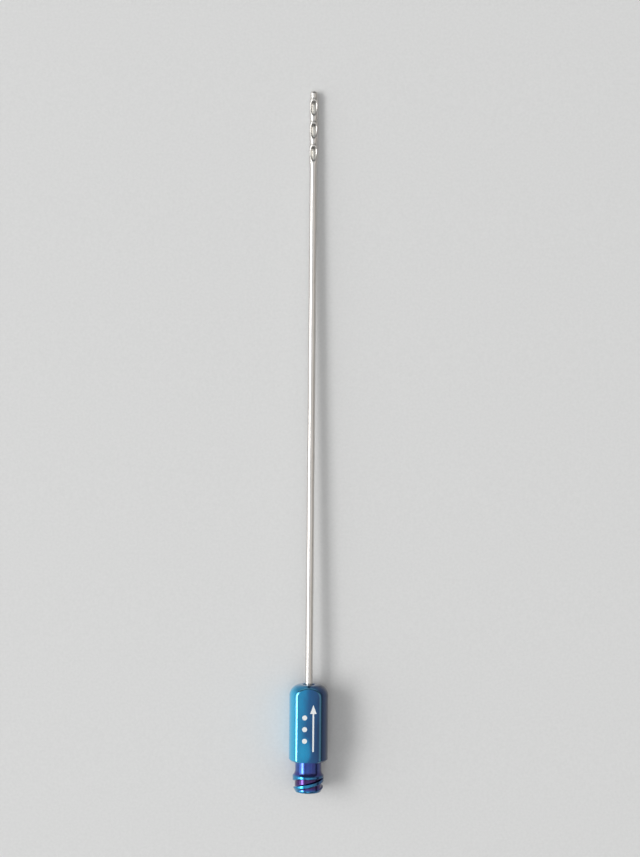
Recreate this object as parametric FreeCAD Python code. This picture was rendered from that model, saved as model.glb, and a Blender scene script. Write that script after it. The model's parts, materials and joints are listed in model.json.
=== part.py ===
import FreeCAD, Part
import math
import os

# A blunt 15 gauge liposuction cannula with three suction ports in line and a female luer lock at the rear.
# Sizes are in millimetres. Y runs along the axis from the mouth of the luer socket to the tip,
# and Z points up through the ports and the marked flat. The origin is the centre of the socket's mouth.

# The tube
TUBE_DIAMETER = 1.83
TUBE_WALL = 0.23
TUBE_REACH = 149.7  # from the grip's nose to the very tip
TUBE_FIT_GAP = 0.02  # radial, in the bores of the grip and the connector

# The suction ports: scoops in the tube's top side, deepest near the tip's end and shallower towards the grip
PORT_COUNT = 3
PORT_PITCH = 5.8
PORT_LENGTH = 4.2
PORT_DEPTH = 0.77  # from the crown of the swollen tube down to the scoop's deepest point
PORT_DEEPEST = 1.4  # from the scoop's front end to its deepest point
PORT_ROUNDNESS = 1.7  # the scoop's radius across the tube
PORT_FROM_TIP = 2.45  # from the very tip to the first scoop
PORT_SWELL = 0.13  # how much the tube's radius grows round a port
PORT_SLOPE = 0.7  # how long the swelling takes to rise at each end of a port, or less between close ports

# The plug that closes the tube
TIP_HEAD_LENGTH = 1.0
TIP_CORNER_RADIUS = 0.75
PLUG_SEAT_DEPTH = 0.9
PLUG_SEAT_WIDENING = 0.05  # how much the tapered seat's radius grows up to the tube's end
PLUG_FIT_GAP = 0.01

# The grip
GRIP_LENGTH = 19.05
GRIP_DIAMETER = 9.8
GRIP_ACROSS_FLATS = 8.0
FLAT_EDGE_RADIUS = 1.25
NOSE_RADIUS = 2.8
GRIP_REAR_CHAMFER = 0.45

# The adhesive and its well in the grip's nose
WELL_DIAMETER = 2.9
WELL_DEPTH = 1.2
WELL_EDGE_CHAMFER = 0.15
ADHESIVE_DROP = 0.4  # from the nose's face down to the adhesive
ADHESIVE_CLIMB = 0.2  # how far it climbs the tube

# The connector that is pressed into the grip's rear end
NECK_DIAMETER = 6.6
CONNECTOR_REACH = 7.75  # from the mouth to the grip's rear face
SPIGOT_DIAMETER = 5.6
SPIGOT_LENGTH = 6.5
SPIGOT_CHAMFER = 0.3
SPIGOT_FIT_GAP = 0.01
SPIGOT_END_GAP = 0.3
STOP_LENGTH = 0.8  # the narrow passage whose step stops the tube
STOP_DIAMETER = 1.7
DRILL_POINT_ANGLE = 118.0

# The collar and the lock thread on the connector
COLLAR_FRONT = 4.15  # from the mouth to the collar's front edge
COLLAR_WIDTH = 0.6
FLARE_LENGTH = 1.35
CREST_DIAMETER = 7.8
ROOT_DIAMETER = 6.7
THREAD_STARTS = 2
THREAD_LEAD = 5.0
THREAD_CREST_WIDTH = 0.7
THREAD_FLANK_ANGLE = 25.0
THREAD_PHASE = 1.95  # from the mouth to the middle of a ridge, along the top line
END_BEVEL_LENGTH = 1.35
END_BEVEL_DIAMETER = 6.3

# The socket, with a 6 percent taper on its diameter
SOCKET_MOUTH_DIAMETER = 4.3
SOCKET_DEPTH = 7.5
SOCKET_TAPER = 0.06
SOCKET_EDGE_CHAMFER = 0.1

ORIGIN = FreeCAD.Vector(0, 0, 0)
AXIS = FreeCAD.Vector(0, 1, 0)
TOO_FAR = 1.0  # how far a cutting solid runs past what it cuts

TUBE_RADIUS = TUBE_DIAMETER / 2
LUMEN_RADIUS = TUBE_RADIUS - TUBE_WALL
BORE_RADIUS = TUBE_RADIUS + TUBE_FIT_GAP
GRIP_REAR = CONNECTOR_REACH
GRIP_FRONT = GRIP_REAR + GRIP_LENGTH
TIP = GRIP_FRONT + TUBE_REACH
TUBE_FRONT = TIP - TIP_HEAD_LENGTH
SOCKET_FLOOR_RADIUS = (SOCKET_MOUTH_DIAMETER - SOCKET_TAPER * SOCKET_DEPTH) / 2
DRILL_POINT_SLOPE = math.tan(math.radians(DRILL_POINT_ANGLE / 2))
DRILL_POINT_LENGTH = (SOCKET_FLOOR_RADIUS - STOP_DIAMETER / 2) / DRILL_POINT_SLOPE
TUBE_REAR = SOCKET_DEPTH + DRILL_POINT_LENGTH + STOP_LENGTH
PORT_FRONTS = [TIP - PORT_FROM_TIP - i * PORT_PITCH for i in range(PORT_COUNT)]


def at(y, r):
    """The point at a distance y along the axis and r above it."""
    return FreeCAD.Vector(0, y, r)


def line(a, b):
    return Part.makeLine(at(*a), at(*b))


def arc(a, middle, b):
    return Part.Arc(at(*a), at(*middle), at(*b)).toShape()


def lines(*points):
    """The straight edges from each point to the next."""
    return [line(a, b) for a, b in zip(points, points[1:])]


def turned(edges):
    """The solid of revolution of a closed outline about the axis."""
    return Part.Face(Part.Wire(edges)).revolve(ORIGIN, AXIS, 360)


def turned_lines(*points):
    return turned(lines(*points, points[0]))


def rod(radius, start, end):
    """A cylinder on the axis; taken away, it is a bore."""
    return Part.makeCylinder(radius, end - start, at(start, 0), AXIS)


def mid_edge(edge):
    return edge.valueAt((edge.FirstParameter + edge.LastParameter) / 2)


def end_circles(shape, y):
    """The whole circles of a turned piece that lie at y."""
    return [e for e in shape.Edges if e.Closed and abs(mid_edge(e).y - y) < 1e-4]


def grip_blank():
    """The turned grip: round, with a rounded nose."""
    blank = rod(GRIP_DIAMETER / 2, GRIP_REAR, GRIP_FRONT)
    return blank.makeFillet(NOSE_RADIUS, end_circles(blank, GRIP_FRONT))


def with_flats(blank):
    """Mill the two flats and round their edges."""
    half = GRIP_ACROSS_FLATS / 2
    side = GRIP_DIAMETER + 2 * TOO_FAR
    for z in (half, -half - side):
        corner = FreeCAD.Vector(-side / 2, GRIP_REAR - TOO_FAR, z)
        blank = blank.cut(Part.makeBox(side, GRIP_LENGTH + 2 * TOO_FAR, side, corner))

    def borders_flat(edge):
        ends = [v.Point for v in edge.Vertexes] + [mid_edge(edge)]
        on_flat = all(abs(abs(p.z) - half) < 1e-4 for p in ends)
        return on_flat and mid_edge(edge).y > GRIP_REAR + 1e-4

    return blank.makeFillet(FLAT_EDGE_RADIUS, [e for e in blank.Edges if borders_flat(e)])


def rear_chamfer():
    """The ring that cuts the chamfer off the grip's rear edge."""
    start = GRIP_DIAMETER / 2 - GRIP_REAR_CHAMFER
    return turned_lines(
        (GRIP_REAR - TOO_FAR, start - TOO_FAR),
        (GRIP_REAR - TOO_FAR, GRIP_DIAMETER / 2 + TOO_FAR),
        (GRIP_REAR + GRIP_REAR_CHAMFER + TOO_FAR, GRIP_DIAMETER / 2 + TOO_FAR),
    )


def grip_body():
    grip = with_flats(grip_blank()).cut(rear_chamfer())
    pocket_end = GRIP_REAR + SPIGOT_LENGTH + SPIGOT_END_GAP
    grip = grip.cut(rod(SPIGOT_DIAMETER / 2 + SPIGOT_FIT_GAP, GRIP_REAR - TOO_FAR, pocket_end))
    grip = grip.cut(rod(BORE_RADIUS, GRIP_REAR, GRIP_FRONT + TOO_FAR))
    well = WELL_DIAMETER / 2
    chamfer = WELL_EDGE_CHAMFER
    return grip.cut(
        turned_lines(
            (GRIP_FRONT - WELL_DEPTH, 0),
            (GRIP_FRONT - WELL_DEPTH, well),
            (GRIP_FRONT - chamfer, well),
            (GRIP_FRONT + TOO_FAR, well + chamfer + TOO_FAR),
            (GRIP_FRONT + TOO_FAR, 0),
        )
    )


def nose_adhesive():
    """The ring of adhesive that fills the well round the tube and climbs it a little."""
    floor = GRIP_FRONT - WELL_DEPTH
    top = GRIP_FRONT - ADHESIVE_DROP
    outer = WELL_DIAMETER / 2
    return turned_lines(
        (floor, TUBE_RADIUS),
        (floor, outer),
        (top, outer),
        (top, TUBE_RADIUS + ADHESIVE_CLIMB),
        (top + ADHESIVE_CLIMB, TUBE_RADIUS),
    )


def thread_ridge(start_angle):
    """One helical ridge of the lock thread, longer and taller than it ends up."""
    crest = CREST_DIAMETER / 2 + TOO_FAR / 4
    foot = ROOT_DIAMETER / 2 - TOO_FAR / 4
    flank = math.tan(math.radians(THREAD_FLANK_ANGLE))
    half_crest = THREAD_CREST_WIDTH / 2 - (crest - CREST_DIAMETER / 2) * flank
    half_foot = half_crest + (crest - foot) * flank
    turns = math.ceil((COLLAR_FRONT + THREAD_LEAD) / THREAD_LEAD)
    section = [(foot, -half_foot), (crest, -half_crest), (crest, half_crest), (foot, half_foot)]
    corners = [FreeCAD.Vector(r, 0, y) for r, y in section]
    helix = Part.makeLongHelix(THREAD_LEAD, turns * THREAD_LEAD, ROOT_DIAMETER / 2)
    ridge = Part.Wire(helix.Edges).makePipeShell([Part.makePolygon(corners + corners[:1])], True, True)
    ridge.rotate(ORIGIN, FreeCAD.Vector(0, 0, 1), start_angle)
    ridge.rotate(ORIGIN, FreeCAD.Vector(1, 0, 0), -90)
    ridge.translate(at(THREAD_PHASE - 1.25 * THREAD_LEAD, 0))
    return ridge


def thread():
    """The ridges, trimmed to the crest and to the bevel at the mouth."""
    envelope = turned_lines(
        (0, 0),
        (0, END_BEVEL_DIAMETER / 2),
        (END_BEVEL_LENGTH, CREST_DIAMETER / 2),
        (COLLAR_FRONT - COLLAR_WIDTH / 2, CREST_DIAMETER / 2),
        (COLLAR_FRONT - COLLAR_WIDTH / 2, 0),
    )
    return [envelope.common(thread_ridge(i * 360 / THREAD_STARTS)) for i in range(THREAD_STARTS)]


def connector_blank():
    """The turned outside of the connector, from the root of the thread to the spigot."""
    root, crest, neck = ROOT_DIAMETER / 2, CREST_DIAMETER / 2, NECK_DIAMETER / 2
    spigot, mouth = SPIGOT_DIAMETER / 2, END_BEVEL_DIAMETER / 2
    collar_rear = COLLAR_FRONT - COLLAR_WIDTH
    flare_end = COLLAR_FRONT + FLARE_LENGTH
    spigot_end = GRIP_REAR + SPIGOT_LENGTH
    rise = crest - neck
    bend = (FLARE_LENGTH**2 + rise**2) / (2 * rise)
    half_turn = math.asin(FLARE_LENGTH / bend) / 2
    flare_middle = (flare_end - bend * math.sin(half_turn), neck + bend * (1 - math.cos(half_turn)))
    outline = lines(
        (0, 0),
        (0, mouth),
        (root - mouth, root),
        (collar_rear, root),
        (collar_rear, crest),
        (COLLAR_FRONT, crest),
    )
    outline.append(arc((COLLAR_FRONT, crest), flare_middle, (flare_end, neck)))
    outline += lines(
        (flare_end, neck),
        (GRIP_REAR, neck),
        (GRIP_REAR, spigot),
        (spigot_end - SPIGOT_CHAMFER, spigot),
        (spigot_end, spigot - SPIGOT_CHAMFER),
        (spigot_end, 0),
        (0, 0),
    )
    return turned(outline)


def luer_connector():
    connector = connector_blank()
    for ridge in thread():
        connector = connector.fuse(ridge)
    mouth, stop = SOCKET_MOUTH_DIAMETER / 2, STOP_DIAMETER / 2
    chamfer = SOCKET_EDGE_CHAMFER
    connector = connector.cut(
        turned_lines(
            (-TOO_FAR, 0),
            (-TOO_FAR, mouth + chamfer + TOO_FAR),
            (chamfer, mouth - SOCKET_TAPER * chamfer / 2),
            (SOCKET_DEPTH, SOCKET_FLOOR_RADIUS),
            (SOCKET_DEPTH + DRILL_POINT_LENGTH, stop),
            (TUBE_REAR, stop),
            (TUBE_REAR, 0),
        )
    )
    return connector.cut(rod(BORE_RADIUS, TUBE_REAR, GRIP_REAR + SPIGOT_LENGTH + TOO_FAR))


def tube_blank():
    """The tube as a solid rod that swells round each port."""
    low, high = TUBE_RADIUS, TUBE_RADIUS + PORT_SWELL
    slope = min(PORT_SLOPE, 0.45 * (PORT_PITCH - PORT_LENGTH))
    outline = [(TUBE_REAR, 0), (TUBE_REAR, low)]
    for front in reversed(PORT_FRONTS):
        rear = front - PORT_LENGTH
        outline += [(rear - slope, low), (rear, high), (front, high), (front + slope, low)]
    return turned_lines(*outline, (TUBE_FRONT, low), (TUBE_FRONT, 0))


def scoop_side(deepest, end):
    """Half of a scoop's outline, measured from the cutter's own axis: an arc, and a line on past the crown."""
    reach = end - deepest
    bend = (reach**2 + PORT_DEPTH**2) / (2 * PORT_DEPTH)
    turn = math.asin(min(1, abs(reach) / bend))
    side = math.copysign(1, reach)

    def on_arc(angle):
        return (deepest + side * bend * math.sin(angle), PORT_ROUNDNESS - bend * (1 - math.cos(angle)))

    crown = on_arc(turn)
    past = (crown[0] + side * TOO_FAR / 2 * math.cos(turn), crown[1] - TOO_FAR / 2 * math.sin(turn))
    return arc(on_arc(0), on_arc(turn / 2), crown), line(crown, past), past


def port_cutter(front):
    """The cutter of one port, turned about a line above the tube."""
    deepest = front - PORT_DEEPEST
    front_arc, front_line, front_end = scoop_side(deepest, front)
    rear_arc, rear_line, rear_end = scoop_side(deepest, front - PORT_LENGTH)
    closing = lines(front_end, (front_end[0], 0), (rear_end[0], 0), rear_end)
    cutter = turned([front_arc, front_line, *closing, rear_line, rear_arc])
    cutter.translate(at(0, TUBE_RADIUS + PORT_SWELL - PORT_DEPTH + PORT_ROUNDNESS))
    return cutter


def cannula_tube():
    tube = tube_blank()
    for front in PORT_FRONTS:
        tube = tube.cut(port_cutter(front))
    tube = tube.cut(rod(LUMEN_RADIUS, TUBE_REAR - TOO_FAR, TUBE_FRONT + TOO_FAR))
    return tube.cut(
        turned_lines(
            (TUBE_FRONT - PLUG_SEAT_DEPTH, 0),
            (TUBE_FRONT - PLUG_SEAT_DEPTH, LUMEN_RADIUS),
            (TUBE_FRONT, LUMEN_RADIUS + PLUG_SEAT_WIDENING),
            (TUBE_FRONT, 0),
        )
    )


def tip_plug():
    """The blunt nose with its tapered shank in the tube's seat."""
    head = rod(TUBE_RADIUS, TUBE_FRONT, TIP)
    corner = min(TIP_CORNER_RADIUS, 0.9 * TUBE_RADIUS, 0.9 * TIP_HEAD_LENGTH)
    head = head.makeFillet(corner, end_circles(head, TIP))
    narrow, wide = LUMEN_RADIUS - PLUG_FIT_GAP, LUMEN_RADIUS + PLUG_SEAT_WIDENING - PLUG_FIT_GAP
    shank_end = TUBE_FRONT - PLUG_SEAT_DEPTH
    shank = turned_lines((shank_end, 0), (shank_end, narrow), (TUBE_FRONT, wide), (TUBE_FRONT, 0))
    return head.fuse(shank)


SUBPARTS = {
    "grip_body": grip_body,
    "luer_connector": luer_connector,
    "nose_adhesive": nose_adhesive,
    "cannula_tube": cannula_tube,
    "tip_plug": tip_plug,
}

os.makedirs("parts", exist_ok=True)
for name, build in SUBPARTS.items():
    shape = build()
    solids = shape.Solids
    whole = solids[0] if len(solids) == 1 else shape
    whole.exportStep("parts/" + name + ".step")
    box = whole.BoundBox
    print(name, len(solids), "valid" if whole.isValid() else "NOT VALID", round(whole.Volume, 3), "mm3")
    print("   ", [round(v, 3) for v in (box.XMin, box.YMin, box.ZMin, box.XMax, box.YMax, box.ZMax)])
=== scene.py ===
import json
import math

import bmesh
import bpy
from mathutils import Matrix, Vector


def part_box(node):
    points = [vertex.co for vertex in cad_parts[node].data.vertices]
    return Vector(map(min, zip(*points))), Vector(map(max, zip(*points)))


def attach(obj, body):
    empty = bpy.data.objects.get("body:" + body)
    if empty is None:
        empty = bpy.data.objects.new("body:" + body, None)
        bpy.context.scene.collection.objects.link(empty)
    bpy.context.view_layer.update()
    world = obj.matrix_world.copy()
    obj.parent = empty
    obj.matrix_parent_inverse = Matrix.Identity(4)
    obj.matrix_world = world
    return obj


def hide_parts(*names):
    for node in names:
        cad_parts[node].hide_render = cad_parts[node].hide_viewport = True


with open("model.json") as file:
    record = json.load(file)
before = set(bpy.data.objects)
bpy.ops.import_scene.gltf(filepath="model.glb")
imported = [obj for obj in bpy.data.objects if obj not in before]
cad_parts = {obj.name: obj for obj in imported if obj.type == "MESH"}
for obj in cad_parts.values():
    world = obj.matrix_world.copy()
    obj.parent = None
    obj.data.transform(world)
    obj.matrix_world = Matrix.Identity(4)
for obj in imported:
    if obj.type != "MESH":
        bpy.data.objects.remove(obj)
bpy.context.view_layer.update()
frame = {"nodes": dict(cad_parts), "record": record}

# A slim suction cannula with a luer lock, lying on a pale table under a soft window-like light from the left.
# Lengths in the script are millimetres in the frame of the CAD model, and MM turns them into metres.
# Y runs along the axis from the luer socket's mouth to the tip, and Z points up through the ports.

MM = 0.001
WELD = 2e-4
ROOT = "root"


def low_high(node):
    """A CAD node's lowest and highest corner in millimetres."""
    low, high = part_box(node)
    return low / MM, high / MM


MOUNTS = {mount["name"]: mount for mount in frame["record"]["mounts"]}

# The tube and its plug
TUBE_RADIUS = MOUNTS["shaft"]["dims"]["r_mm"]
LUMEN_RADIUS = MOUNTS["lumen"]["dims"]["r_mm"]
TUBE_REAR = low_high("cannula_tube")[0].y
TIP = low_high("tip_plug")[1].y
PLUG_REAR = low_high("tip_plug")[0].y
TIP_CORNER = 0.75
TUBE_SIDES = 48
SHAFT_STEPS = 40

# The suction ports
PORT_COUNT = 3
PORT_PITCH = 5.8
PORT_LENGTH = 4.2
PORT_DEPTH = 0.77  # below the widened tube's crown
PORT_DEEPEST = 1.4  # from a port's front end back to its deepest place
PORT_ROUNDNESS = 1.7  # the cutter's largest radius
PORT_FROM_TIP = 2.45
PORT_SWELL = low_high("cannula_tube")[1].x - TUBE_RADIUS
PORT_SLOPE = 0.7  # how long the swelling takes to rise at each end of a port
PORT_LIP = 0.2  # how far the lip's rounding reaches to each side of the edge
LIP_RISE = 0.12  # how far the front lip stands above the crown
LIP_REAR = 0.3  # from a port's front end back to the lip's highest point
LIP_LENGTH = 1.0
PORT_SIDE_STEPS = 12
SKIN_STEPS = 9
LIP_STEPS = 6
SCOOP_ROWS = 8
LUMEN_STEPS = 6
ROW_CROWDING = 1.6  # how much closer together the rows lie next to a port
HALVINGS = 30  # in the search for a scoop's edge
PORT_FRONTS = [TIP - PORT_FROM_TIP - i * PORT_PITCH for i in range(PORT_COUNT)]
SCOOP_AXIS = TUBE_RADIUS + PORT_SWELL - PORT_DEPTH + PORT_ROUNDNESS

# The grip
GRIP_REAR = low_high("grip_body")[0].y
GRIP_FRONT = low_high("grip_body")[1].y
GRIP_RADIUS = low_high("grip_body")[1].x
GRIP_FLAT = low_high("grip_body")[1].z
GRIP_TURNS = ((0, 41, 16), (42, 78, 36), (80, 90, 5))  # in a quarter: from and to, in degrees, and steps
FLAT_EDGE = 1.25  # the radius of the flats' rounded edges
NOSE_RADIUS = 2.8
NOSE_STEPS = 36
REAR_CHAMFER = 0.45
EDGE_BREAK = 0.1
POCKET_RADIUS = 2.81
WELL_RADIUS = 1.45
WELL_DEPTH = 1.2
WELL_CHAMFER = 0.15
ADHESIVE_TOP = GRIP_FRONT - 0.4
ADHESIVE_CLIMB = 0.2
ADHESIVE_DIP = 0.45  # of the climb, halfway from the well's wall to the tube
BORE_RADIUS = TUBE_RADIUS + 0.02

# The connector
CREST = MOUNTS["luer_thread"]["dims"]["r_mm"]
ROOT_RADIUS = 3.35
NECK = 3.3
COLLAR_REAR = 3.55
COLLAR_FRONT = 4.15
FLARE_END = 5.5
BEVEL_LENGTH = 1.35
BEVEL_RADIUS = 3.15
THREAD_LEAD = 5.0
THREAD_STARTS = 2
THREAD_PHASE = MOUNTS["luer_thread"]["pos_m"][1] / MM
CREST_WIDTH = 0.7
RIDGES_END = COLLAR_REAR + 0.2  # the ridges run out in the collar
FLANK = math.tan(math.radians(25))
EDGE_SOFTNESS = 0.07
COLLAR_SOFTNESS = 0.16
RIM_RADIUS = BEVEL_RADIUS - 0.1
CONNECTOR_SIDES = 144
CONNECTOR_STEPS = 109
SOCKET_MOUTH = MOUNTS["luer_socket"]["dims"]["r_mm"]
SOCKET_DEPTH = MOUNTS["luer_socket"]["dims"]["length_mm"]
SOCKET_FLOOR = SOCKET_MOUTH - 0.03 * SOCKET_DEPTH
MOUTH_BREAK = 0.14  # the rounding of the socket's edge
DRILL_ANGLE = math.radians(59)  # half of the angle of the socket's drill point
STOP_RADIUS = 0.85
SPIGOT_RADIUS = 2.8
SPIGOT_CHAMFER = 0.3
SPIGOT_END = low_high("luer_connector")[1].y
POCKET_ROOM = 0.3  # between the spigot's end and the pocket's floor
POCKET_END = SPIGOT_END + POCKET_ROOM


# Mesh building

def smooth_step(share):
    share = min(1.0, max(0.0, share))
    return share * share * (3 - 2 * share)


def mixed(a, b, share):
    return a + (b - a) * share


def spread(start, end, count):
    """Evenly spaced values from start to end, both of them included."""
    return [mixed(start, end, i / count) for i in range(count + 1)]


def surface(name, grids, material, replaced, crease=40):
    """One smooth mesh from grids of points. A grid is a list of rows, and borders that touch are merged."""
    shape = bmesh.new()
    for rows in grids:
        made = [[shape.verts.new(Vector(point) * MM) for point in row] for row in rows]
        for upper, lower in zip(made, made[1:]):
            for i in range(len(upper) - 1):
                shape.faces.new((upper[i], upper[i + 1], lower[i + 1], lower[i]))
    bmesh.ops.remove_doubles(shape, verts=shape.verts, dist=WELD * MM)
    bmesh.ops.recalc_face_normals(shape, faces=shape.faces)
    mesh = bpy.data.meshes.new(name)
    shape.to_mesh(mesh)
    shape.free()
    mesh.shade_smooth()
    mesh.set_sharp_from_angle(angle=math.radians(crease))
    mesh.materials.append(material)
    piece = bpy.data.objects.new(name, mesh)
    bpy.context.scene.collection.objects.link(piece)
    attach(piece, ROOT)
    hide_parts(*replaced)


def ring(y, radius, sides):
    """A circle round the axis, as a row that ends where it starts, at the bottom."""
    turns = spread(-math.pi, math.pi, sides)
    return [(radius * math.sin(turn), y, radius * math.cos(turn)) for turn in turns]


def turned(profile, sides):
    return [ring(y, radius, sides) for y, radius in profile]


# The tube with its three ports

def outer_radius(y, angle):
    """The tube's outside: wider on both sides of a port, and raised to a lip at its front end."""
    grown = raised = 0
    for front in PORT_FRONTS:
        outside = max(y - front, front - PORT_LENGTH - y, 0)
        grown = max(grown, 1 - smooth_step(outside / PORT_SLOPE))
        raised = max(raised, 1 - smooth_step(abs(y - front + LIP_REAR) / LIP_LENGTH))
    crown = max(0.0, math.cos(angle)) ** 2
    return TUBE_RADIUS + PORT_SWELL * grown * math.sin(angle) ** 2 + LIP_RISE * raised * crown


def lumen_radius(y, angle):
    """The tube's inside, which is the same everywhere, in the form that scoop_edge and on_skin take."""
    return LUMEN_RADIUS


def scoop_radius(front, y):
    """The scooping cutter's radius at y, about its own axis above the tube."""
    deepest = front - PORT_DEEPEST
    reach = PORT_DEEPEST if y > deepest else PORT_LENGTH - PORT_DEEPEST
    bend = (reach**2 + PORT_DEPTH**2) / (2 * PORT_DEPTH)
    return PORT_ROUNDNESS - bend + math.sqrt(bend**2 - (y - deepest) ** 2)


def scoop_reach(front, radius):
    """Where, along the axis, the scoop's bottom line passes a height of radius: its rear and front."""
    drop = PORT_ROUNDNESS - (SCOOP_AXIS - radius)
    ends = []
    for reach, side in ((PORT_LENGTH - PORT_DEEPEST, -1), (PORT_DEEPEST, 1)):
        bend = (reach**2 + PORT_DEPTH**2) / (2 * PORT_DEPTH)
        ends.append(front - PORT_DEEPEST + side * math.sqrt(bend**2 - (bend - drop) ** 2))
    return ends


def scoop_edge(front, radius_at, turn):
    """The angle about the axis and the y of the scoop's edge on a skin. Turn 0 is its front end."""
    rear, tip_end = scoop_reach(front, radius_at(front, 0))
    y = (rear + tip_end) / 2 + (tip_end - rear) / 2 * math.cos(turn)
    cutter = scoop_radius(front, y)
    inside, outside = 0.0, math.radians(85)
    for _ in range(HALVINGS):
        angle = (inside + outside) / 2
        radius = radius_at(y, angle)
        x, z = radius * math.sin(angle), radius * math.cos(angle)
        if z > SCOOP_AXIS - math.sqrt(max(0.0, cutter**2 - x**2)):
            inside = angle
        else:
            outside = angle
    return math.copysign(inside, math.sin(turn)), y


def on_skin(radius_at, y, angle):
    radius = radius_at(y, angle)
    return radius * math.sin(angle), y, radius * math.cos(angle)


def on_scoop(front, x, y):
    return x, y, SCOOP_AXIS - math.sqrt(scoop_radius(front, y) ** 2 - x**2)


def frame_points(low, high):
    """The border of one port's stretch, unrolled: (angle about the axis, y, turn round the port)."""
    corner = math.radians(62)
    ends = spread(-math.pi, math.pi, TUBE_SIDES)
    end_turns = spread(-corner, corner, TUBE_SIDES)
    side_turns = spread(corner, math.pi - corner, PORT_SIDE_STEPS)
    sides = spread(high, low, PORT_SIDE_STEPS)
    border = [(angle, high, turn) for angle, turn in zip(ends, end_turns)]
    border += [(math.pi, y, turn) for y, turn in zip(sides[1:], side_turns[1:])]
    border += [(-angle, low, math.pi + turn) for angle, turn in zip(ends[1:], end_turns[1:])]
    border += [(-math.pi, y, math.pi + turn) for y, turn in zip(reversed(sides[:-1]), side_turns[1:])]
    return border


def skin_rows(front, radius_at, border, inset, steps):
    """Rows of points on a skin of the tube, from a port's edge, moved out by inset, to the border."""
    rows = [[] for _ in range(steps + 1)]
    for angle, y, turn in border:
        edge_angle, edge_y = scoop_edge(front, radius_at, turn)
        start = inset / math.hypot((angle - edge_angle) * TUBE_RADIUS, y - edge_y)
        for i, row in enumerate(rows):
            share = mixed(start, 1, (i / steps) ** ROW_CROWDING)
            row.append(on_skin(radius_at, mixed(edge_y, y, share), mixed(edge_angle, angle, share)))
    return rows


def lip_rows(outer_row, edge, inner_row):
    """A rounded lip: curves from the skin to the scoop, drawn towards the sharp edge between them."""
    rows = []
    for share in spread(0, 1, LIP_STEPS):
        row = []
        for a, b, c in zip(outer_row, edge, inner_row):
            point = Vector(a) * (1 - share) ** 2 + Vector(b) * 2 * share * (1 - share) + Vector(c) * share**2
            row.append(point)
        rows.append(row)
    return rows


def port_grids(front, low, high, lumen_high):
    """The skin round one port, its lip, the scoop and the lumen's wall."""
    border = frame_points(low, high)
    skin = skin_rows(front, outer_radius, border, PORT_LIP, SKIN_STEPS)
    lumen = skin_rows(front, lumen_radius, frame_points(low, lumen_high), 0, LUMEN_STEPS)
    edge, scoop = [], [[] for _ in range(SCOOP_ROWS)]
    for _, _, turn in border:
        angle, y = scoop_edge(front, outer_radius, turn)
        inner_angle, inner_y = scoop_edge(front, lumen_radius, turn)
        sharp = on_skin(outer_radius, y, angle)
        inner = on_skin(lumen_radius, inner_y, inner_angle)
        start = PORT_LIP / math.hypot(inner[0] - sharp[0], inner_y - y)
        edge.append(sharp)
        for i, row in enumerate(scoop):
            share = mixed(start, 1, i / (SCOOP_ROWS - 1))
            row.append(on_scoop(front, mixed(sharp[0], inner[0], share), mixed(y, inner_y, share)))
    return [skin, lip_rows(skin[0], edge, scoop[0]), scoop, lumen]


def dome_profile():
    """The blunt tip: a rounded corner and a small flat end."""
    start = TIP - TIP_CORNER
    turns = spread(0, math.pi / 2, 12)
    centre = TUBE_RADIUS - TIP_CORNER
    arc = [(start + TIP_CORNER * math.sin(turn), centre + TIP_CORNER * math.cos(turn)) for turn in turns]
    return arc + [(TIP, centre / 2), (TIP, 0)]


def build_tube(material):
    gap = (PORT_PITCH - PORT_LENGTH) / 2
    grids = []
    for front in PORT_FRONTS:
        lumen_high = PLUG_REAR if front == PORT_FRONTS[0] else front + gap
        grids += port_grids(front, front - PORT_LENGTH - gap, front + gap, lumen_high)
    shaft_end = PORT_FRONTS[-1] - PORT_LENGTH - gap
    shaft = spread(TUBE_REAR, shaft_end, SHAFT_STEPS)
    front_end = PORT_FRONTS[0] + gap
    grids.append([ring(y, TUBE_RADIUS, TUBE_SIDES) for y in shaft])
    grids.append([ring(y, LUMEN_RADIUS, TUBE_SIDES) for y in shaft])
    grids.append(turned([(TUBE_REAR, LUMEN_RADIUS), (TUBE_REAR, TUBE_RADIUS)], TUBE_SIDES))
    grids.append(turned([(PLUG_REAR, LUMEN_RADIUS), (PLUG_REAR, 0)], TUBE_SIDES))
    grids.append(turned([(front_end, TUBE_RADIUS), *dome_profile()], TUBE_SIDES))
    surface("tube_with_ports", grids, material, ("cannula_tube", "tip_plug"))


# The grip

def grip_angles():
    """Angles of the grip's rows, closest together where the flats' rounded edges run."""
    quarter = [math.radians(angle) for part in GRIP_TURNS for angle in spread(*part)]
    half = quarter + [math.pi - angle for angle in reversed(quarter[:-1])]
    return half + [math.pi + angle for angle in half[1:]]


def section(radius, angle):
    """How far the grip's section with rounded flats reaches at an angle from the X axis."""
    if radius <= GRIP_FLAT:
        return radius
    up, side = abs(math.sin(angle)), abs(math.cos(angle))
    centre_z = GRIP_FLAT - FLAT_EDGE
    centre_x = math.sqrt((radius - FLAT_EDGE) ** 2 - centre_z**2)
    if up * centre_x <= centre_z * side:
        return radius
    if GRIP_FLAT * side <= centre_x * up:
        return GRIP_FLAT / up
    along = centre_x * side + centre_z * up
    return along + math.sqrt(along**2 - centre_x**2 - centre_z**2 + FLAT_EDGE**2)


def grip_row(y, radius, limit=math.inf, less=0.0):
    """One row round the grip: its section less some height, and nowhere past a limit."""
    row = []
    for angle in grip_angles():
        reach = min(section(radius, angle) - less, limit)
        row.append((reach * math.cos(angle), y, reach * math.sin(angle)))
    return row


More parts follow.
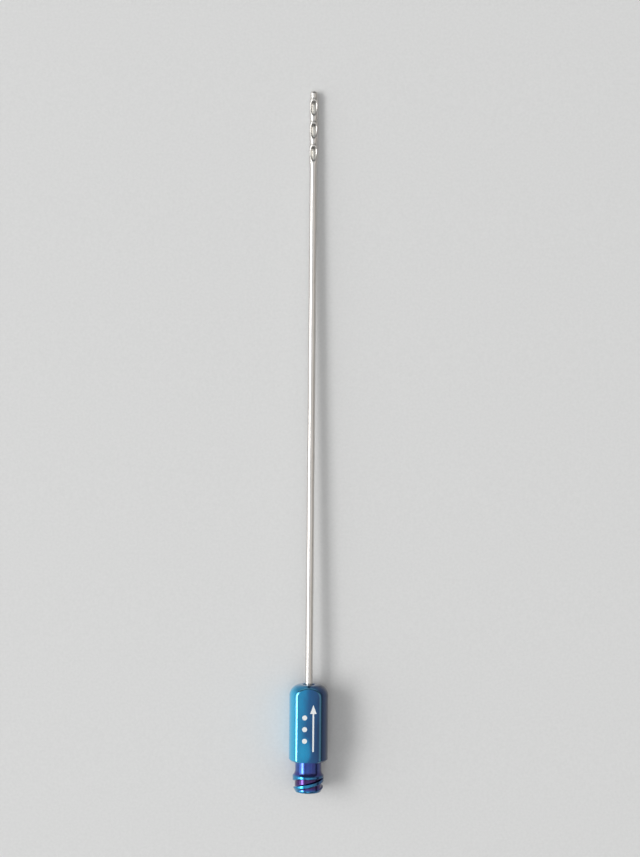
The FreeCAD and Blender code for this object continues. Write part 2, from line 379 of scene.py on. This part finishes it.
def build_grip(material):
    rows = [grip_row(GRIP_REAR, POCKET_RADIUS)]
    for y in spread(0, EDGE_BREAK, 4) + spread(EDGE_BREAK, REAR_CHAMFER + EDGE_BREAK, 8)[1:]:
        less = EDGE_BREAK - math.sqrt(max(0.0, EDGE_BREAK**2 - max(0.0, EDGE_BREAK - y) ** 2))
        rows.append(grip_row(GRIP_REAR + y, GRIP_RADIUS, GRIP_RADIUS - REAR_CHAMFER + y, less))
    nose_start = GRIP_FRONT - NOSE_RADIUS
    middle = spread(GRIP_REAR + REAR_CHAMFER + 2 * EDGE_BREAK, nose_start, 10)
    rows += [grip_row(y, GRIP_RADIUS) for y in middle]
    for turn in spread(0, math.pi / 2, NOSE_STEPS)[1:]:
        radius = GRIP_RADIUS - NOSE_RADIUS + NOSE_RADIUS * math.cos(turn)
        rows.append(grip_row(nose_start + NOSE_RADIUS * math.sin(turn), radius))
    # The well's chamfer has both its edges broken by a few hundredths.
    inside = [
        (GRIP_FRONT, WELL_RADIUS + WELL_CHAMFER + 0.05),
        (GRIP_FRONT - 0.03, WELL_RADIUS + WELL_CHAMFER - 0.02),
        (GRIP_FRONT - WELL_CHAMFER + 0.03, WELL_RADIUS + 0.02),
        (GRIP_FRONT - WELL_CHAMFER - 0.04, WELL_RADIUS),
        (GRIP_FRONT - WELL_DEPTH, WELL_RADIUS),
        (GRIP_FRONT - WELL_DEPTH, BORE_RADIUS),
        (POCKET_END, BORE_RADIUS),
        (POCKET_END, POCKET_RADIUS),
        (GRIP_REAR, POCKET_RADIUS),
    ]
    rows += [grip_row(y, radius) for y, radius in inside]
    surface("grip_shell", [rows], material, ("grip_body",), crease=50)


def build_adhesive(material):
    """The cured ring, with a hollow face that climbs the well and the tube."""
    floor = GRIP_FRONT - WELL_DEPTH
    face = []
    for share in spread(0, 1, 10):
        radius = mixed(WELL_RADIUS, TUBE_RADIUS, share)
        dip = math.sin(math.pi * share)
        face.append((ADHESIVE_TOP + ADHESIVE_CLIMB * (share**2 - ADHESIVE_DIP * dip), radius))
    profile = [(floor, TUBE_RADIUS), (floor, WELL_RADIUS), *face, (floor, TUBE_RADIUS)]
    surface("adhesive_ring", [turned(profile, TUBE_SIDES)], material, ("nose_adhesive",))


# The connector

def soft_max(a, b):
    """The larger of two heights, with a rounded change from one to the other."""
    overlap = max(0.0, EDGE_SOFTNESS - abs(a - b))
    return max(a, b) + overlap**2 / (4 * EDGE_SOFTNESS)


def soft_min(a, b):
    return -soft_max(-a, -b)


def ridge_height(y, angle):
    """The lock thread's ridges at y and at an angle from the top, before the ends are bevelled."""
    spacing = THREAD_LEAD / THREAD_STARTS
    along = (y - THREAD_PHASE - THREAD_LEAD * angle / (2 * math.pi)) % spacing
    distance = min(along, spacing - along)
    return CREST - max(0.0, distance - CREST_WIDTH / 2) / FLANK


def core_height(y):
    """The connector's outside without the ridges."""
    if y >= FLARE_END:
        return NECK
    if y >= COLLAR_FRONT:
        rise, length = CREST - NECK, FLARE_END - COLLAR_FRONT
        bend = (length**2 + rise**2) / (2 * rise)
        return NECK + bend - math.sqrt(bend**2 - (FLARE_END - y) ** 2)
    step = smooth_step((y - COLLAR_REAR + COLLAR_SOFTNESS / 2) / COLLAR_SOFTNESS)
    return mixed(min(ROOT_RADIUS, BEVEL_RADIUS + y), CREST, step)


def connector_row(y):
    bevel = BEVEL_RADIUS + (CREST - BEVEL_RADIUS) * y / BEVEL_LENGTH
    top = soft_min(bevel, CREST + EDGE_SOFTNESS / 2)
    row = []
    for turn in spread(-math.pi, math.pi, CONNECTOR_SIDES):
        height = core_height(y)
        if y < RIDGES_END:
            height = soft_min(soft_max(height, ridge_height(y, turn)), top)
        height = min(height, CREST)
        row.append((height * math.sin(turn), y, height * math.cos(turn)))
    return row


def build_connector(material):
    stop = SOCKET_DEPTH + (SOCKET_FLOOR - STOP_RADIUS) / math.tan(DRILL_ANGLE)
    inside = [
        (TUBE_REAR, BORE_RADIUS),
        (TUBE_REAR, STOP_RADIUS),
        (stop, STOP_RADIUS),
        (SOCKET_DEPTH, SOCKET_FLOOR),
        (MOUTH_BREAK, SOCKET_MOUTH),
        (0.04, SOCKET_MOUTH + 0.05),
        (0, SOCKET_MOUTH + MOUTH_BREAK),
        (0, RIM_RADIUS),
    ]
    spigot = [
        (GRIP_REAR, NECK),
        (GRIP_REAR, SPIGOT_RADIUS),
        (SPIGOT_END - SPIGOT_CHAMFER, SPIGOT_RADIUS),
        (SPIGOT_END, SPIGOT_RADIUS - SPIGOT_CHAMFER),
        (SPIGOT_END, BORE_RADIUS),
        (TUBE_REAR, BORE_RADIUS),
    ]
    outside = [connector_row(y) for y in spread(0.05, FLARE_END, CONNECTOR_STEPS)]
    rim = ring(0, RIM_RADIUS, CONNECTOR_SIDES)
    grids = [
        turned(inside, CONNECTOR_SIDES),
        [rim, *outside, connector_row(GRIP_REAR)],
        turned(spigot, CONNECTOR_SIDES),
    ]
    surface("luer_end", grids, material, ("luer_connector",), crease=50)


# Generic marks on the top flat: an arrow towards the tip, and three dots for the three ports

MARK_HEIGHT = 0.015
MARK_SINK = 0.01  # how far a mark reaches down into the flat


def mark(name, outline, material):
    """A thin raised patch of white ink on the top flat. Its outline runs anticlockwise."""
    count = len(outline)
    lift = Vector((0, 0, MARK_HEIGHT + MARK_SINK)) * MM
    base = [Vector((x, y, GRIP_FLAT - MARK_SINK)) * MM for x, y in outline]
    faces = [tuple(reversed(range(count))), tuple(range(count, 2 * count))]
    for i in range(count):
        following = (i + 1) % count
        faces.append((i, following, count + following, count + i))
    mesh = bpy.data.meshes.new(name)
    mesh.from_pydata(base + [point + lift for point in base], [], faces)
    mesh.materials.append(material)
    piece = bpy.data.objects.new(name, mesh)
    bpy.context.scene.collection.objects.link(piece)
    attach(piece, ROOT)


def build_marks(material):
    arrow_x, arrow_low, arrow_high = 1.2, 10.6, 22.2
    half, head, head_length = 0.2, 0.8, 2.2
    neck = arrow_high - head_length
    arrow = [
        (arrow_x - half, arrow_low),
        (arrow_x + half, arrow_low),
        (arrow_x + half, neck),
        (arrow_x + head, neck),
        (arrow_x, arrow_high),
        (arrow_x - head, neck),
        (arrow_x - half, neck),
    ]
    mark("mark_arrow", arrow, material)
    dot_x, dot_radius = -0.95, 0.62
    turns = spread(0, 2 * math.pi, 32)[:-1]
    for i, y in enumerate((13.2, 16.1, 19.0)):
        dot = [(dot_x + dot_radius * math.cos(t), y + dot_radius * math.sin(t)) for t in turns]
        mark(f"mark_dot_{i + 1}", dot, material)


# Materials

class Paint:
    """A new material with helpers that add nodes and link them."""

    def __init__(self, name):
        self.material = bpy.data.materials.new(name)
        self.material.use_nodes = True
        self.nodes = self.material.node_tree.nodes
        self.links = self.material.node_tree.links
        self.shader = self.nodes["Principled BSDF"]
        self.place = self.add("ShaderNodeTexCoord").outputs["Object"]

    def add(self, kind, settings=None, **inputs):
        node = self.nodes.new(kind)
        for key, value in (settings or {}).items():
            setattr(node, key, value)
        for key, value in inputs.items():
            self.set(node.inputs[key.replace("_", " ")], value)
        return node

    def set(self, socket, value):
        if isinstance(value, bpy.types.NodeSocket):
            self.links.new(value, socket)
        else:
            socket.default_value = value

    def shade(self, **inputs):
        for key, value in inputs.items():
            self.set(self.shader.inputs[key.replace("_", " ")], value)

    def noise(self, scale, stretch=(1, 1, 1), detail=3.0, rough=0.5):
        """A noise from 0 to 1 with a given number of cells per millimetre, stretched along the axes."""
        sizes = tuple(scale / MM / s for s in stretch)
        mapped = self.add("ShaderNodeMapping", Vector=self.place, Scale=sizes).outputs["Vector"]
        inputs = {"Vector": mapped, "Scale": 1.0, "Detail": detail, "Roughness": rough}
        return self.add("ShaderNodeTexNoise", **inputs).outputs["Fac"]

    def spread_out(self, value, low, high, new_low=0.0, new_high=1.0):
        """The value brought from low and high to new_low and new_high, and held there beyond them."""
        inputs = {"Value": value, "From_Min": low, "From_Max": high, "To_Min": new_low, "To_Max": new_high}
        return self.add("ShaderNodeMapRange", **inputs).outputs["Result"]

    def maths(self, operation, a, b=0.0, c=0.0):
        node = self.add("ShaderNodeMath", {"operation": operation})
        for socket, value in zip(node.inputs, (a, b, c)):
            self.set(socket, value)
        return node.outputs["Value"]

    def weighed(self, a, share, b):
        """A share of a, and the rest of b."""
        return self.maths("ADD", self.maths("MULTIPLY", a, share), self.maths("MULTIPLY", b, 1 - share))

    def squares(self, a, b):
        return self.maths("ADD", self.maths("MULTIPLY", a, a), self.maths("MULTIPLY", b, b))

    def wander(self, value, noise, amount):
        """The value, moved up and down by a noise."""
        moved = self.maths("MULTIPLY", self.maths("SUBTRACT", noise, 0.5), amount)
        return self.maths("ADD", value, moved)

    def ramp(self, value, stops):
        node = self.add("ShaderNodeValToRGB", Fac=value)
        elements = node.color_ramp.elements
        while len(elements) < len(stops):
            elements.new(0.5)
        for element, (position, colour) in zip(elements, stops):
            element.position = position
            element.color = (*colour, 1)
        return node.outputs["Color"]

    def mix(self, share, a, b):
        node = self.add("ShaderNodeMix", {"data_type": "RGBA"})
        for socket, value in ((node.inputs[0], share), (node.inputs[6], a), (node.inputs[7], b)):
            self.set(socket, (*value, 1) if isinstance(value, tuple) else value)
        return node.outputs[2]

    def bump(self, height, strength, depth):
        inputs = {"Height": height, "Strength": strength, "Distance": depth * MM}
        self.shade(Normal=self.add("ShaderNodeBump", **inputs).outputs["Normal"])

    def axes(self):
        """The point's X, Y and Z in millimetres."""
        node = self.add("ShaderNodeSeparateXYZ", Vector=self.place)
        return [self.maths("DIVIDE", node.outputs[i], MM) for i in range(3)]


def steel_material():
    """Polished steel with a fine grain along the tube and faint smudges, duller inside and painted paler
    there, a painted light that lifts the shade in the lumen and the ports.
    """
    paint = Paint("polished_steel_tube")
    grain = paint.noise(22, (1, 60, 1), 4, 0.6)
    smudge = paint.noise(0.35, (1, 4, 1), 4, 0.6)
    wide = paint.noise(3.0, (1, 30, 1), 2)
    x, _, z = paint.axes()
    radius = paint.maths("SQRT", paint.squares(x, z))
    inside = paint.spread_out(radius, TUBE_RADIUS - 0.06, TUBE_RADIUS - 0.24)
    tones = [(0.3, (0.56, 0.535, 0.50)), (0.7, (0.70, 0.68, 0.655))]
    polished = paint.ramp(paint.weighed(smudge, 0.6, wide), tones)
    worn = paint.spread_out(paint.weighed(grain, 0.6, smudge), 0.3, 0.7, 0.24, 0.36)
    # The inside is painted paler: painted light that lifts the shade in the lumen and the ports' scoops.
    paint.shade(Base_Color=paint.mix(inside, polished, (0.80, 0.78, 0.74)), Metallic=1.0)
    paint.shade(Roughness=paint.maths("ADD", worn, paint.maths("MULTIPLY", inside, 0.08)))
    paint.bump(grain, 0.25, 0.004)
    return paint.material


def anodise(paint, colour, texture):
    """Glossy anodised aluminium: the colour layer on a metal, with a clear sealed skin over it."""
    fine = paint.noise(14, (1, 1, 1), 3, 0.6)
    smudge = paint.noise(0.5, (1, 1, 1), 4, 0.6)
    paint.shade(Base_Color=colour, Metallic=1.0)
    paint.shade(Roughness=paint.spread_out(paint.weighed(fine, 0.4, smudge), 0.3, 0.7, 0.13, 0.24))
    paint.shade(Coat_Weight=0.65, Coat_Roughness=0.05, Coat_IOR=1.5)
    paint.bump(paint.maths("ADD", fine, texture), 0.12, 0.004)
    return paint.material


def grip_material():
    """Blue, partly an uneven dye layer and partly painted reflection: cyan to the left, navy to the right as
    painted shade, a lighter pool on the top flat, and pale edges with a painted highlight.
    """
    paint = Paint("anodised_grip")
    x, y, z = paint.axes()
    # Across the grip the colour runs from navy on the right, painted shade, to cyan on the left, painted
    # reflection, moved about by noise like an uneven dye layer. The pool adds a lighter patch on the top
    # flat, partly painted reflection.
    across = paint.wander(x, paint.noise(0.22, (1, 2.2, 1), 3, 0.55), 3.6)
    pool_x, pool_y, pool_width, pool_length = -0.5, 11.0, 1.9, 3.4
    off_x = paint.maths("DIVIDE", paint.maths("SUBTRACT", x, pool_x), pool_width)
    off_y = paint.maths("DIVIDE", paint.maths("SUBTRACT", y, pool_y), pool_length)
    dye_and_reflection_pool = paint.spread_out(paint.squares(off_x, off_y), 1.0, 0.0, 0.0, 0.28)
    level = paint.maths("ADD", paint.spread_out(across, 3.0, -3.4, 0.0, 0.8), dye_and_reflection_pool)
    stops = [
        (0.0, (0.005, 0.03, 0.10)),
        (0.12, (0.008, 0.06, 0.17)),
        (0.38, (0.009, 0.10, 0.26)),
        (0.55, (0.010, 0.23, 0.46)),
        (0.8, (0.015, 0.32, 0.58)),
        (1.0, (0.012, 0.46, 0.72)),
    ]
    # The round left side is mixed towards a light cyan, a painted reflection of the window.
    left = paint.spread_out(x, -2.9, -4.3, 0.0, 0.85)
    colour = paint.mix(left, paint.ramp(level, stops), (0.07, 0.58, 0.92))
    # The rounded edges of both flats lie between these depths below the flats.
    depth = paint.maths("SUBTRACT", GRIP_FLAT, paint.maths("ABSOLUTE", z))
    edge = paint.maths("MULTIPLY", paint.spread_out(depth, 0.005, 0.08), paint.spread_out(depth, 0.42, 0.26))
    # The flats' edges are made paler, partly the anodising's own pale edge and partly a painted highlight,
    # which is why the share is larger on the left.
    pale = paint.maths("MULTIPLY", edge, paint.spread_out(x, 2.0, -2.0, 0.3, 0.65))
    colour = paint.mix(pale, colour, (0.14, 0.50, 0.72))
    return anodise(paint, colour, paint.noise(9, (1, 40, 1), 3, 0.6))


def connector_material():
    """Violet-blue, cyan-blue on the thread's crests and purple in its groove, darker deeper in it as painted
    shade, and darkened to the right as painted shade.
    """
    paint = Paint("anodised_connector")
    x, y, z = paint.axes()
    radius = paint.maths("SQRT", paint.squares(x, z))
    cloud = paint.noise(0.35, (1, 1, 1), 3, 0.55)
    crest = paint.spread_out(y, 0.0, BEVEL_LENGTH, BEVEL_RADIUS, CREST)
    # Deeper in the thread's groove the colour turns purple and darker; the darkening is painted shade.
    depth = paint.wander(paint.maths("SUBTRACT", crest, radius), cloud, 0.35)
    stops = [
        (0.0, (0.015, 0.27, 0.52)),
        (0.25, (0.02, 0.14, 0.42)),
        (0.6, (0.05, 0.03, 0.25)),
        (0.95, (0.055, 0.012, 0.11)),
    ]
    thread = paint.ramp(paint.spread_out(depth, 0.0, 0.6), stops)
    neck = paint.ramp(cloud, [(0.3, (0.035, 0.03, 0.27)), (0.7, (0.02, 0.11, 0.40))])
    colour = paint.mix(paint.spread_out(y, 4.2, 5.4), thread, neck)
    # The right side is mixed towards a dark violet, painted shade.
    colour = paint.mix(paint.spread_out(x, -0.8, 2.6, 0.0, 0.7), colour, (0.012, 0.008, 0.09))
    return anodise(paint, colour, paint.noise(10, (60, 1, 60), 2, 0.5))


def adhesive_material():
    paint = Paint("cured_adhesive")
    cloud = paint.noise(2.0, (1, 1, 1), 3, 0.6)
    paint.shade(Base_Color=paint.ramp(cloud, [(0.3, (0.015, 0.018, 0.03)), (0.7, (0.04, 0.045, 0.07))]))
    paint.shade(Roughness=paint.spread_out(cloud, 0.3, 0.7, 0.12, 0.3))
    paint.bump(cloud, 0.3, 0.02)
    return paint.material


def ink_material():
    """White ink with a slightly uneven cover."""
    paint = Paint("white_ink")
    speckle = paint.noise(6, (1, 1, 1), 4, 0.65)
    paint.shade(Base_Color=paint.ramp(speckle, [(0.28, (0.60, 0.66, 0.70)), (0.5, (0.82, 0.83, 0.82))]))
    paint.shade(Roughness=paint.spread_out(speckle, 0.3, 0.7, 0.45, 0.65))
    paint.bump(speckle, 0.3, 0.006)
    return paint.material


def table_material():
    paint = Paint("pale_table")
    fine = paint.noise(1.5, (1, 1, 1), 4, 0.6)
    paint.shade(Base_Color=paint.ramp(fine, [(0.3, (0.65, 0.65, 0.645)), (0.7, (0.69, 0.69, 0.685))]))
    paint.shade(Roughness=paint.spread_out(fine, 0.3, 0.7, 0.55, 0.7))
    return paint.material


# The table, the light and the camera

def table_frame():
    """A point of the table, its Y direction and its normal: the grip's lower flat and the tip lie on it."""
    grip = frame["nodes"]["grip_body"].data.vertices
    front_y = max(v.co.y for v in grip if v.co.z < -(GRIP_FLAT - 0.001) * MM)
    touch = Vector((0, front_y, -GRIP_FLAT * MM))
    far = [v.co for node in ("cannula_tube", "tip_plug") for v in frame["nodes"][node].data.vertices]
    slope = min((p.z - touch.z) / (p.y - touch.y) for p in far if p.y > touch.y + 10 * MM)
    tilt = math.atan(slope)
    return touch, Vector((0, math.cos(tilt), math.sin(tilt))), Vector((0, -math.sin(tilt), math.cos(tilt)))


TABLE_POINT, TABLE_Y, TABLE_UP = table_frame()
TABLE_X = Vector((1, 0, 0))

TABLE_HALF = 60  # metres
IMAGE_HEIGHT = 857
FOCAL_PIXELS = 1584
CAMERA_HEIGHT = 402  # above the table
CAMERA_ROLL = math.radians(0.504)
TIP_RIGHT, TIP_UP = -1.47, 85.41  # where the tip lies in the picture's plane, from the picture's centre

# How bright the room is at heights from the horizon, 0, to straight overhead, 1
ROOM_LEVELS = ((0.0, 0.6), (0.12, 0.18), (0.8, 0.22), (0.97, 0.9))


def build_table(material):
    half = TABLE_HALF
    corners = [(-half, -half), (half, -half), (half, half), (-half, half)]
    mesh = bpy.data.meshes.new("table_top")
    mesh.from_pydata([TABLE_POINT + TABLE_X * x + TABLE_Y * y for x, y in corners], [], [(0, 1, 2, 3)])
    mesh.materials.append(material)
    table = bpy.data.objects.new("table_top", mesh)
    bpy.context.scene.collection.objects.link(table)


def build_camera():
    """A camera that looks straight down on the table, at the photograph's distance and turn."""
    right = TABLE_X * math.cos(CAMERA_ROLL) + TABLE_Y * math.sin(CAMERA_ROLL)
    up = TABLE_Y * math.cos(CAMERA_ROLL) - TABLE_X * math.sin(CAMERA_ROLL)
    tip = Vector((0, TIP, 0)) * MM
    place = tip - right * TIP_RIGHT * MM - up * TIP_UP * MM
    place += TABLE_UP * (CAMERA_HEIGHT * MM - (place - TABLE_POINT).dot(TABLE_UP))
    data = bpy.data.cameras.new("camera")
    data.sensor_fit = "VERTICAL"
    data.sensor_height = 36
    data.lens = FOCAL_PIXELS / IMAGE_HEIGHT * data.sensor_height
    data.clip_start = 0.01
    camera = bpy.data.objects.new("camera", data)
    camera.matrix_world = Matrix.Translation(place) @ Matrix((right, up, TABLE_UP)).transposed().to_4x4()
    bpy.context.scene.collection.objects.link(camera)
    bpy.context.scene.camera = camera


def add_panel(name, side, elevation, distance, width, length, radiance, colour=(1, 1, 1)):
    """A soft rectangular light that shines on the middle of the cannula from a side and an elevation."""
    height = math.radians(elevation)
    back = (side * math.cos(height) + TABLE_UP * math.sin(height)).normalized()
    across = TABLE_Y.cross(back).normalized()
    data = bpy.data.lights.new(name, "AREA")
    data.shape = "RECTANGLE"
    data.size = width
    data.size_y = length
    data.energy = radiance * math.pi * width * length
    data.color = colour
    lamp = bpy.data.objects.new(name, data)
    place = Matrix.Translation(Vector((0, TIP / 2, 0)) * MM + back * distance)
    lamp.matrix_world = place @ Matrix((across, back.cross(across), back)).transposed().to_4x4()
    bpy.context.scene.collection.objects.link(lamp)


def build_light():
    """A window on the left with a bright core, two weaker panels, and a dim room that is pale overhead."""
    add_panel("window_light", -TABLE_X, 31, 9.0, 8.3, 11.7, 1.7)
    add_panel("window_core", -TABLE_X, 38, 8.7, 2.5, 6.3, 7.0)
    add_panel("room_light", -TABLE_Y, 50, 10.8, 4.5, 3.6, 2.0)
    add_panel("wall_light", TABLE_X, 45, 10.8, 8.6, 9.0, 0.6, (1.0, 0.90, 0.82))
    world = bpy.data.worlds.new("room")
    world.use_nodes = True
    bpy.context.scene.world = world
    nodes, links = world.node_tree.nodes, world.node_tree.links
    coordinates = nodes.new("ShaderNodeTexCoord")
    split = nodes.new("ShaderNodeSeparateXYZ")
    ramp = nodes.new("ShaderNodeValToRGB")
    for _ in range(len(ROOM_LEVELS) - 2):
        ramp.color_ramp.elements.new(0.5)
    for element, (position, level) in zip(ramp.color_ramp.elements, ROOM_LEVELS):
        element.position = position
        element.color = (level * 0.97, level, level * 1.02, 1)
    links.new(coordinates.outputs["Generated"], split.inputs[0])
    links.new(split.outputs["Z"], ramp.inputs["Fac"])
    links.new(ramp.outputs["Color"], nodes["Background"].inputs["Color"])


bpy.context.scene.view_settings.view_transform = "Standard"

build_tube(steel_material())
build_grip(grip_material())
build_adhesive(adhesive_material())
build_connector(connector_material())
build_marks(ink_material())
build_table(table_material())
build_camera()
build_light()
